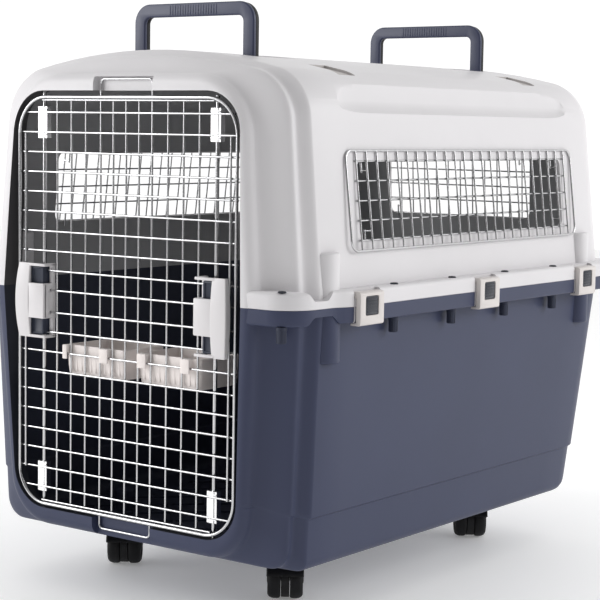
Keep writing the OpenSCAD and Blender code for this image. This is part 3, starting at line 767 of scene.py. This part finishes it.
def build_upper():
    """The grey lid: shell, flange and bosses, with its doorway, windows, handle wells, slots and recesses."""
    shell = loft("upper", upper_rings(0, seam), M_GREY)
    # the inner skin's faces carry the darker grey of painted shade into the shell when it is cut out
    inner = loft("upper_in", upper_rings(wall, seam - 1), M_GREY_SHADE_IN)
    behind_recess = shoulder_recess(wall - 1.0)
    keep = [loft("keep", rings, M_GREY_SHADE_IN) for rings in (behind_recess, mirrored(behind_recess))]
    cut(inner, doorway_ring(M_JAMB), *keep, *fitting_blocks(*top_block_z, M_GREY))
    cut(inner, *[roof_pocket("tray", key, tray_half, tray_reach, 8, well_z - wall) for key in handle_y])
    recess = shoulder_recess(0)
    tools = [inner, loft("recess", recess, M_GREY), loft("recess", mirrored(recess), M_GREY),
             doorway_tool(0, outside_y, front + 60, M_JAMB),
             brick(-loop_half, loop_half, outside_y, notch_y, *top_notch_z, M_GREY)]
    tools += [roof_pocket("well", key, well_half, well_reach, 5, well_z) for key in handle_y]
    tools += [window_tool(s) for s in SIDES]
    rear_window = round_rect(-rear_window_half, rear_window_half, *window_z, 10, 5)
    tools.append(prism("window", rear_window, rear - 60, rear + 30, "y", M_GREY))
    profile = high_half(half_w, roof_half, roof_tangent, roof_r, seam, crown)
    crest = [(x, z - slot_depth) for x, z in profile if slot_x[0] < x < slot_x[1] and z > recess_z]
    slot = crest + [(crest[-1][0], above_roof), (crest[0][0], above_roof)]
    # the slot floors take the darker grey, painted shade in the slots
    for s in SIDES:
        for y in slot_y:
            outline = [(s * x, z) for x, z in slot]
            tools.append(prism("slot", outline, y - slot_half, y + slot_half, "y", M_SLOT_SHADE))
    tools += rod_sockets(620, box_mm("latch_rod_top_left")[1].z + 2, M_GREY)
    cut(shell, *tools)
    edge = flange("upper_flange", True, M_GREY)
    cut(edge, *clip_gaps(seam + 9.5, seam + 40), *side_gaps(seam - 5, seam + 40))
    whole = join("upper_shell_skin", [shell, edge] + pilasters(11, 1, pilaster_top, M_GREY, True))
    finish_piece(whole, "upper_shell_skin", "shells", "upper_shell")


def floor_ribs():
    """Low ribs that cross on the cabin floor, trimmed to its flat middle."""
    floor_z = base + wall
    half, pitch, height = 260, 70, 2.2
    outline = [(-half, -2), (half, -2), (half - 1, 2), (1 - half, 2)]
    trim = brick(-214, 214, front + 75, rear - 70, floor_z - 5, floor_z + 20, M_NAVY_SHADE_IN)
    ribs = []
    for d in SIDES:
        for i in range(-8, 9):
            rib = prism("rib", outline, floor_z - 1, floor_z + height, "z", M_NAVY_SHADE_IN)
            station = Matrix.Translation((0, (i * pitch + mid_y) * MM, 0))
            rib.data.transform(station @ Matrix.Rotation(d * math.radians(45), 4, "Z"))
            mod = rib.modifiers.new("trim", "BOOLEAN")
            mod.operation = "INTERSECT"
            mod.object = trim
            apply_all(rib)
            if rib.data.vertices:
                ribs.append(rib)
            else:
                remove(rib)
    remove(trim)
    return ribs


def castor_bosses():
    """The bosses on the floor of the tub, one over each castor stem."""
    profile = [(0, 0), (14, 0), (13, 22), (12.4, 27), (11, 28.5), (0, 28.5)]
    bosses = []
    for k in range(1, 5):
        x, y = plan_centre(*box_mm("castor_stem_%d" % k))
        bosses.append(revolve("boss", profile, (x, y, base + 2), ALONG_Z, M_NAVY_SHADE_IN, 36))
    return bosses


def build_lower():
    """The navy tub: shell, flange and bosses, with its half of the doorway and the ribs on its floor."""
    shell = loft("lower", lower_rings(0, seam), M_NAVY)
    # the inner skin's faces carry the darker navy of painted shade into the tub when it is cut out
    inner = loft("lower_in", lower_rings(wall, seam + 1), M_NAVY_SHADE_IN)
    cut(inner, doorway_ring(M_JAMB_NAVY), *fitting_blocks(*low_block_z, M_NAVY))
    cut(shell, inner, doorway_tool(0, outside_y, front + 60, M_JAMB_NAVY),
        brick(-loop_half, loop_half, outside_y, notch_y, *low_notch_z, M_NAVY),
        *rod_sockets(box_mm("latch_rod_bottom_left")[0].z - 2, 112, M_NAVY))
    edge = flange("lower_flange", False, M_NAVY)
    cut(edge, *side_gaps(seam - 40, seam + 5))
    posts = pilasters(9, -1, pilaster_foot, M_NAVY, False)
    whole = join("lower_shell_skin", [shell, edge] + posts + floor_ribs() + castor_bosses())
    finish_piece(whole, "lower_shell_skin", "shells", "lower_shell")


build_upper()
build_lower()


# ---------------- clips, buttons, fasteners
def place_side(obj, s, y):
    """Moves a piece drawn for the +X side at Y = 0 to its own side and station."""
    mirror_x(obj, s)
    obj.data.transform(Matrix.Translation((0, y * MM, 0)))


def build_clip(k):
    """A side clip: the cream frame that turns on its pin."""
    s, y = clip_places[k]
    pin = joints["clip_%d_open" % k]["pos_m"]
    pin_x, pin_z = abs(pin[0]) / MM, pin[2] / MM
    lo, hi = box_mm("side_clip_%d" % k)
    face, half = max(abs(lo.x), abs(hi.x)), (hi.y - lo.y) / 2
    back, hook_x = face - 6.5, pin_x - 3.7
    section = ([(back, lo.z + 3.2), (hook_x, lo.z + 2.6), (hook_x, lo.z)]
               + arc(face - 3, lo.z + 3, 3, -90, 0, 4)
               + arc(face - 3.5, pin_z - 0.5, 3.5, 0, 80, 5)
               + arc(pin_x, pin_z, 3.4, 80, 250, 8) + [(back, pin_z - 5)])
    clip = prism("clip", section, -half, half, "y", M_CREAM)
    b_lo, b_hi = box_mm("clip_button_%d" % k)
    hole_half, gap = 13.5, 0.3
    z0, z1 = b_lo.z - gap, b_hi.z + gap
    hole = round_rect(-hole_half, hole_half, z0, z1, 2.5, 3)
    pocket = round_rect(-hole_half - 2.8, hole_half + 2.8, z0, z1, 1, 2)
    cut(clip, prism("hole", hole, back - 3, face + 5, "x", M_CREAM),
        prism("pocket", pocket, back - 3, back + 3.7, "x", M_CREAM))
    soften(clip, 0.7, 2, 40)
    place_side(clip, s, y)
    finish_piece(clip, "clip_%d_frame" % k, "clip_%d" % k, "side_clip_%d" % k)


def build_button(k):
    """The dark button in a clip, with five ribs on its face and a foot that keeps it in."""
    s, y = clip_places[k]
    lo, hi = box_mm("clip_button_%d" % k)
    face = max(abs(lo.x), abs(hi.x))
    back = face - 3.4
    pad = rounded("pad", round_rect(-13.2, 13.2, lo.z, hi.z, 2.3, 3), back, face, "x", M_BUTTON, 0.8)
    foot = prism("foot", round_rect(-16, 16, lo.z, hi.z, 1, 2), back, back + 1, "x", M_BUTTON)
    ribs = []
    for i in range(5):
        z = mixed(lo.z + 4, hi.z - 4, i / 4)
        outline = round_rect(-9.5, 9.5, z - 0.8, z + 0.8, 0.7, 3)
        ribs.append(rounded("rib", outline, face - 0.6, face + 0.45, "x", M_BUTTON, 0.3))
    button = join("button", [pad, foot] + ribs)
    place_side(button, s, y)
    finish_piece(button, "clip_%d_button" % k, "button_%d" % k, "clip_button_%d" % k)


def build_bolts():
    """The flange bolts: a low head with a hollow, and a shank with a tapered end."""
    parts = []
    for lo, hi in islands(nodes["flange_bolts"]):
        x, y = plan_centre(lo, hi)
        r, length = (hi[0] - lo[0]) / 2 - 1.0, hi[2] - 3 - lo[2]
        head = [(0, 0), (r, 0), (r, 0.9), (r - 0.8, 1.7), (r - 1.6, 1.9),
                (2.3, 1.9), (2.1, 1.7), (2.0, 0.6), (0, 0.6)]
        shank = [(0, 0), (2.4, 0), (3, 0.8), (3, length), (0, length)]
        parts.append(revolve("head", head, (x, y, hi[2] - 2.4), ALONG_Z, M_BOLT, 28))
        parts.append(revolve("shank", shank, (x, y, lo[2]), ALONG_Z, M_BOLT, 20))
    finish_piece(join("bolts", parts), "flange_bolt_set", "shells", "flange_bolts")


def build_nuts():
    """The flange nuts: a collared body with six fins."""
    parts = []
    for lo, hi in islands(nodes["flange_nuts"]):
        x, y = plan_centre(lo, hi)
        r, h = (hi[0] - lo[0]) / 2, hi[2] - lo[2]
        body = [(3.1, 0), (r - 1.6, 0), (r - 0.8, 0.8), (r - 0.6, h - 4.5), (r, h - 4), (r, h), (3.1, h)]
        parts.append(revolve("nut", body, (x, y, lo[2]), ALONG_Z, M_NUT, 28))
        station = Matrix.Translation((x * MM, y * MM, 0))
        for i in range(6):
            outline = round_rect(r - 2.2, r - 0.2, -0.8, 0.8, 0.4, 2)
            fin = prism("fin", outline, lo[2] + 1, hi[2] - 4.2, "z", M_NUT)
            fin.data.transform(station @ Matrix.Rotation(math.radians(60 * i), 4, "Z"))
            parts.append(fin)
    finish_piece(join("nuts", parts), "flange_nut_set", "shells", "flange_nuts")


for k in clip_places:
    build_clip(k)
    build_button(k)
build_bolts()
build_nuts()


# ---------------- carry handles
def bail_outline(half, leg, rise, bar, foot, trim):
    """A handle's outline above its pins: two legs and a bar, trimmed all round."""
    inner, under = half - leg, rise - bar
    big, small = 24, 8
    outside = arc(half - foot, 0, foot - trim, -90, 0, 6) + arc(half - big, rise - big, big - trim, 0, 90, 10)
    inside = (arc(inner + foot, 0, foot - trim, -90, -180, 6)
              + arc(inner - small, under - small, small + trim, 0, 90, 6))
    return both(outside) + both(inside)[::-1]


def build_handle(key):
    """A carry handle: the navy grip with a row of beads in front, and the black half behind it."""
    body = "handle_" + key
    lo, hi = box_mm("handle_grip_" + key)
    b_lo, b_hi = box_mm("handle_back_" + key)
    leg, bar, foot = 17.6, 17, 5

    def outline(trim):
        return [(x, z + pivot_z) for x, z in bail_outline(hi.x, leg, hi.z - pivot_z, bar, foot, trim)]
    parts = [rounded("grip", outline(0.0), lo.y, hi.y - 1.4, "y", M_GRIP, 2.0, 4)]
    pitch, bead_half = 4.2, 1.1
    for i in range(-9, 10):
        bead = round_rect(i * pitch - bead_half, i * pitch + bead_half, hi.z - 15.2, hi.z - 2.2, 1.0, 3)
        parts.append(rounded("bead", bead, lo.y - 0.35, lo.y + 1.65, "y", M_GRIP, 0.35))
    finish_piece(join("grip", parts), "handle_grip_skin_" + key, body, "handle_grip_" + key)
    back = rounded("back", outline(0.8), b_lo.y - 1.3, b_hi.y, "y", M_BLACK, 1.1, 3)
    finish_piece(back, "handle_back_skin_" + key, body, "handle_back_" + key)


build_handle("front")
build_handle("rear")


# ---------------- door fittings
def build_guides():
    """The sleeves on the rods: a folded sheet with two wings, a rolled middle and a rib near each end."""
    parts = []
    for lo, hi in islands(nodes["rod_guides"]):
        cx, w = (lo[0] + hi[0]) / 2, (hi[0] - lo[0]) / 2
        y0, y1 = lo[1], hi[1]
        back = y0 + 1.2
        outline = ([(-w, y0 + 1.0), (-w, y0), (-3.9, y0), (-3.5, y0 - 0.9), (3.5, y0 - 0.9), (3.9, y0)]
                   + [(w, y0), (w, y0 + 1.0), (w, y1), (w - 1, y1), (w - 1, back), (4.2, back)]
                   + arc(0, rod_y, 3.6, 0, 180, 10)
                   + [(-4.2, back), (-w + 1, back), (-w + 1, y1), (-w, y1)])
        parts.append(prism("guide", [(cx + x, y) for x, y in outline], lo[2], hi[2], "z", M_SLEEVE))
        for z in (lo[2] + 4, hi[2] - 4):
            rib = round_rect(cx - w + 0.2, cx + w - 0.2, z - 1.2, z + 1.2, 1.0, 3)
            parts.append(rounded("rib", rib, y0 - 0.7, y0 + 0.6, "y", M_SLEEVE, 0.4))
    finish_piece(join("guides", parts), "rod_guide_sleeves", "door", "rod_guides")


def build_latch_base(side, s):
    """The navy base of a latch: bored for the rods, grooved in front, with a post for the spring."""
    lo, hi = box_mm("latch_base_" + side)
    x0, x1 = min(abs(lo.x), abs(hi.x)), 163.0
    mid = (lo.z + hi.z) / 2
    plate_y = door_y - 7.5
    base_body = prism("base", round_rect(x0, x1, lo.z, hi.z, 3, 4), plate_y, hi.y, "y", M_LATCH_BASE)
    bore = prism("bore", arc(rod_x, rod_y, 2.85, 0, 345, 23), lo.z - 5, hi.z + 5, "z", M_LATCH_BASE)
    groove = brick(x0 + 3, x0 + 19, plate_y - 3, plate_y + 1.4, lo.z + 3, hi.z - 3, M_LATCH_BASE)
    cut(base_body, bore, groove)
    soften(base_body, 0.9, 2, 40)
    post_outline = round_rect(138, 140.4, mid - 4, mid + 4, 0.8, 2)
    post = prism("post", post_outline, door_y - 12.4, door_y - 7.2, "y", M_LATCH_BASE)
    piece = join("base", [base_body, post])
    mirror_x(piece, s)
    finish_piece(piece, "latch_base_skin_" + side, "door", "latch_base_" + side)


def build_latch_handle(side, s):
    """The cream handle of a latch: a bowed bar and cheek in front, two arms and a rail round the base."""
    lo, hi = box_mm("latch_handle_" + side)
    x0, x1 = sorted((abs(lo.x), abs(hi.x)))
    y0, y1 = lo.y, hi.y
    z0, z1 = lo.z, hi.z
    mid = (z0 + z1) / 2
    bar_in, bar_back, cheek_in = x0 + 26, y0 + 6.1, 167.6
    bow, draw = 3.6, 3.8
    steps = 18
    bar_rings, cheek_rings = [], []
    for i in range(steps + 1):
        t = 2 * i / steps - 1
        z = mixed(z0, z1, i / steps)
        out = x1 - draw * t * t
        bar_outline = round_rect(bar_in, out, y0 + bow * t * t, bar_back, 1.4, 4)
        bar_rings.append([(x, y, z) for x, y in bar_outline])
        inner = min(out - 3, cheek_in + 3.4 * (1 - t * t))
        cheek_outline = round_rect(inner, out, y0 + 3 + 3 * t * t, y0 + 9.6, 1.0, 3)
        cheek_rings.append([(x, y, z) for x, y in cheek_outline])
    bar = loft("bar", bar_rings, M_LATCH, caps=False)
    fill_ends(bar)
    soften(bar, 0.4, 2, 60)
    # the spring's room in the bar and in the block
    cavity = brick(x0 + 12, x0 + 35, y0 + 1.3, y0 + 8, mid - 5, mid + 5, M_LATCH)
    cut(bar, copy_of(cavity))
    cheek = loft("cheek", cheek_rings, M_LATCH, caps=False)
    fill_ends(cheek)
    soften(cheek, 0.5, 2, 50)
    block_half = 22
    block_outline = round_rect(x0 + 0.2, bar_in + 3, mid - block_half, mid + block_half, 1.6, 3)
    block = prism("block", block_outline, y0 + 0.9, bar_back, "y", M_LATCH)
    cut(block, cavity)
    soften(block, 0.8, 2, 40)
    # the inner wall of the handle slides along the level wires, in a notch for each
    side_wall = brick(x0 + 0.2, x0 + 5.2, y0 + 4, y1, mid - block_half, mid + block_half, M_LATCH)
    gap = 0.4
    notches = [brick(x0 - 2, x0 + 8, a[1] - gap, b[1] + gap, a[2] - gap, b[2] + gap, M_LATCH)
               for a, b in islands(nodes["door_wires_level"])
               if abs((a[2] + b[2]) / 2 - mid) < block_half + 2]
    cut(side_wall, *notches)
    parts = [bar, cheek, block, side_wall]
    arm_high, arm_x, rail_x = 3.6, x0 + 30, x0 + 5.4
    arm = [(x0, y0 + 2.8), (arm_x, y0 + 2.8), (arm_x, bar_back), (rail_x, bar_back), (rail_x, y1), (x0, y1)]
    for z in (z0, z1 - arm_high):
        parts.append(rounded("arm", arm, z, z + arm_high, "z", M_LATCH, 0.9, 3))
    rail = round_rect(x0, rail_x, y1 - 6.3, y1, 1.2, 3)
    parts.append(rounded("rail", rail, z0 + 1, z1 - 1, "z", M_LATCH, 0.5, 2, 50))
    piece = join("handle", parts)
    mirror_x(piece, s)
    body = "latch_handle_" + side
    finish_piece(piece, "latch_handle_skin_" + side, body, body)


build_guides()
for side, s in (("left", -1), ("right", 1)):
    build_latch_base(side, s)
    build_latch_handle(side, s)


# ---------------- bowls
def build_bowl(side, cx, hooks):
    """A bowl: an open tub round cx with ribs towards the door, and a hook at each (middle, half width)."""
    hi = box_mm("bowl_" + side)[1]
    half, deep = 49.0, 38
    x0, x1 = cx - half, cx + half
    y0, y1 = door_y + 4.4, hi.y
    z0, z1 = hi.z - deep, hi.z
    outside = [(5, z0), (3, z0 + 0.6), (1.6, z0 + 2.5), (0.6, z0 + 12), (0, z1 - 5), (0, z1 - 0.5), (0.4, z1)]
    inside = [(2.0, z1), (2.5, z1 - 0.6), (2.9, z1 - 6), (3.4, z0 + 12), (4.6, z0 + 5), (7, z0 + 2.8),
              (11, z0 + 2.4)]
    rings = []
    for d, z in outside + inside:
        outline = round_rect(x0 + d, x1 - d, y0 + d, y1 - d, max(1.5, 4 - d * 0.3), 5)
        rings.append([(x, y, z) for x, y in outline])
    tub = loft("tub", rings, M_BOWL, caps=False)
    fill_ends(tub)
    parts = [tub]
    for i in range(11):
        x = mixed(x0 + 9, x1 - 9, i / 10)
        rib = round_rect(x - 1.3, x + 1.3, z0 + 5, z1 - 5, 1.2, 3)
        parts.append(rounded("rib", rib, y0 + 0.1, y0 + 2, "y", M_BOWL, 0.4))
    tip_z, under_z = z1 - 17.5, z1 - 9.6
    hook = [(door_y - 4, tip_z), (door_y - 2, tip_z), (door_y - 2, under_z), (y0 + 1, under_z), (y0 + 1, z1),
            (door_y - 4, z1)]
    for x, w in hooks:
        parts.append(rounded("hook", hook, x - w, x + w, "x", M_BOWL, 0.6))
    finish_piece(join("bowl", parts), "bowl_skin_" + side, "bowl_" + side, "bowl_" + side)


build_bowl("left", -52.0, ((-97.2, 3.6), (-31.5, 7.0)))
build_bowl("right", 69.5, ((31.5, 7.0), (100.5, 7.0)))

# ---------------- castors
trail, hub, wheel_wide = 10.0, 5.6, 18.0


def build_wheels(k, r, place):
    """The twin wheels of a castor, each with a rounded tread, a dished face and a cap."""
    w = wheel_wide
    tread = [(3.0, 0.6), (8, 0.6), (9, 1.4), (r - 6, 1.4), (r - 4, 0.6), (r - 1.6, 0.8), (r - 0.4, 2.2),
             (r, 4.5), (r, w - 9), (r - 0.6, w - 5.5), (r - 2.2, w - 2.6), (r - 5, w - 1), (r - 6.5, w - 1.6),
             (r - 8, w - 3), (9, w - 3), (8, w - 2), (6, w - 1.2), (3.0, w - 1.2)]
    cap = [(0, w - 3.2), (6.5, w - 3.2), (6.2, w - 0.8), (4.5, w - 0.3), (0, w - 0.2)]
    axle = (0, trail, r)
    parts = []
    for s in SIDES:
        outer = [(a, s * (hub + h - 0.2)) for a, h in tread]
        parts.append(revolve("wheel", outer, axle, ALONG_X, M_TYRE, 56))
        parts.append(revolve("cap", [(a, s * (hub + h)) for a, h in cap], axle, ALONG_X, M_BLACK, 32))
    wheels = join("wheels", parts)
    wheels.data.transform(place)
    finish_piece(wheels, "wheel_pair_%d" % k, "wheels_%d" % k, "castor_wheels_%d" % k)


def build_hood(k, r, place):
    """The hood of a castor: a web between the wheels, a curved cover over both and a neck with a collar."""
    near, edge = hub - 0.3, hub - 1
    profile = [(3.1, -near), (r - 2, -near), (r - 1.5, -edge), (r - 1.5, edge), (r - 2, near), (3.1, near)]
    web = revolve("web", profile, (0, trail, r), ALONG_X, M_BLACK, 40)
    cover_out, cover_in, w = r + 3.4, r + 1.2, hub + wheel_wide
    band = [(-w, cover_in), (-w, cover_out - 1.2), (-w + 1.5, cover_out),
            (w - 1.5, cover_out), (w, cover_out - 1.2), (w, cover_in)]
    rows = []
    for a in np.radians(np.linspace(18, 150, 18)):
        rows.append([(x, trail - c * math.cos(a), r + c * math.sin(a)) for x, c in band])
    cover = loft("cover", rows, M_BLACK, caps=False)
    fill_ends(cover)
    soften(cover, 0.5, 2, 50)
    profile = [(0, r + 6), (8.4, r + 6), (9, r + 18), (9.2, base - 8), (11.5, base - 6), (13, base - 4.6),
               (13, base - 0.9), (12.4, base - 0.4), (0, base - 0.4)]
    neck = revolve("neck", profile, (0, 0, 0), ALONG_Z, M_BLACK, 36)
    hood = join("hood", [web, cover, neck])
    hood.data.transform(place)
    finish_piece(hood, "castor_hood_skin_%d" % k, "castor_%d" % k, "castor_hood_%d" % k)


for k in range(1, 5):
    spin, swivel = joints["wheels_%d_spin" % k], joints["castor_%d_swivel" % k]
    wheel_r = (Vector(spin["pos_m"]) / MM).z
    axis = Vector(spin["axis"])
    turn = math.atan2(axis.y, axis.x)
    stem_x, stem_y = swivel["pos_m"][:2]
    place = Matrix.Translation((stem_x, stem_y, 0)) @ Matrix.Rotation(turn, 4, "Z")
    build_wheels(k, wheel_r, place)
    build_hood(k, wheel_r, place)

# ---------------- carried-over CAD nodes
CARRIED = {
    M_WIRE: ["door_frame", "door_wires_upright", "door_wires_level"]
    + ["window_grille_" + place for place in ("left", "right", "rear")]
    + ["latch_rod_%s_%s" % (end, side) for side in ("left", "right") for end in ("top", "bottom")],
    M_STEEL: ["clip_pins", "handle_pins", "latch_spring_left", "latch_spring_right"]
    + ["castor_%s_%d" % (part, k) for part in ("stem", "axle") for k in range(1, 5)],
}
for mat, names in CARRIED.items():
    for name in names:
        obj = nodes[name]
        obj.data.materials.clear()
        obj.data.materials.append(mat)
        smooth(obj, 40)

# ---------------- floor, light, camera
floor_mat = surface("floor_pale", (0.96, 0.96, 0.96), 0.6, tint=0.005, grain=40, grain_depth=0.00002)
floor_shader = floor_mat.node_tree.nodes["Principled BSDF"]
floor_shader.inputs["Emission Color"].default_value = (1, 1, 1, 1)
floor_shader.inputs["Emission Strength"].default_value = 0.18
far = 6000
corners = [(-far, -far, 0), (far, -far, 0), (far, far, 0), (-far, far, 0)]
ground = from_data("studio_floor", corners, [(0, 1, 2, 3)], floor_mat)

# a white world, dimmer behind the camera and towards the zenith
world = bpy.data.worlds.new("studio")
world.use_nodes = True
sky = world.node_tree
way = node(sky, "ShaderNodeTexCoord")
facing = node(sky, "ShaderNodeVectorMath", operation="DOT_PRODUCT")
camera_side = (0.6, -0.8, 0.0)
facing.inputs[1].default_value = camera_side
height = node(sky, "ShaderNodeSeparateXYZ")
link(sky, way.outputs["Generated"], facing.inputs[0])
link(sky, way.outputs["Generated"], height.inputs["Vector"])
both_ways = node(sky, "ShaderNodeMath", operation="MULTIPLY")
link(sky, map_range(sky, facing.outputs["Value"], 0.2, 0.95, 1.0, 0.15, "SMOOTHSTEP"), both_ways.inputs[0])
link(sky, map_range(sky, height.outputs["Z"], 0.35, 0.98, 1.08, 0.7, "SMOOTHSTEP"), both_ways.inputs[1])
link(sky, both_ways.outputs["Value"], sky.nodes["Background"].inputs["Strength"])
sky.nodes["Background"].inputs["Color"].default_value = (1.0, 1.0, 1.0, 1)
bpy.context.scene.world = world
bpy.context.scene.view_settings.view_transform = "Standard"


def soft_light(name, place, target, size, power):
    """A rectangular lamp at a place in metres, turned to its target, with its power in watts."""
    data = bpy.data.lights.new(name, "AREA")
    data.shape = "RECTANGLE"
    data.size, data.size_y = size
    data.energy = power
    obj = bpy.data.objects.new(name, data)
    bpy.context.scene.collection.objects.link(obj)
    obj.location = place
    obj.rotation_euler = (Vector(target) - Vector(place)).to_track_quat("-Z", "Y").to_euler()


soft_light("key", (-2.4, -2.2, 1.35), (0, 0, 0.4), (1.4, 1.8), 44)
soft_light("side", (2.5, 1.5, 1.5), (0, 0, 0.4), (1.6, 1.2), 31)

# the camera's place and turn were solved from the photo
camera_place = Vector((1.436, -1.939, 0.592))
yaw, pitch, roll = (math.radians(a) for a in (36.94, 5.66, -0.91))
forward = Vector((-math.sin(yaw) * math.cos(pitch), math.cos(yaw) * math.cos(pitch), -math.sin(pitch)))
level = Vector((math.cos(yaw), math.sin(yaw), 0))
down = forward.cross(level)
right = level * math.cos(roll) + down * math.sin(roll)
below = down * math.cos(roll) - level * math.sin(roll)
camera_data = bpy.data.cameras.new("camera")
camera_data.lens = 104.4
camera_data.sensor_width = 36
camera_data.clip_end = 60
camera = bpy.data.objects.new("camera", camera_data)
bpy.context.scene.collection.objects.link(camera)
facing_way = Matrix((right, -below, -forward)).transposed().to_4x4()
camera.matrix_world = Matrix.Translation(camera_place) @ facing_way
bpy.context.scene.camera = camera
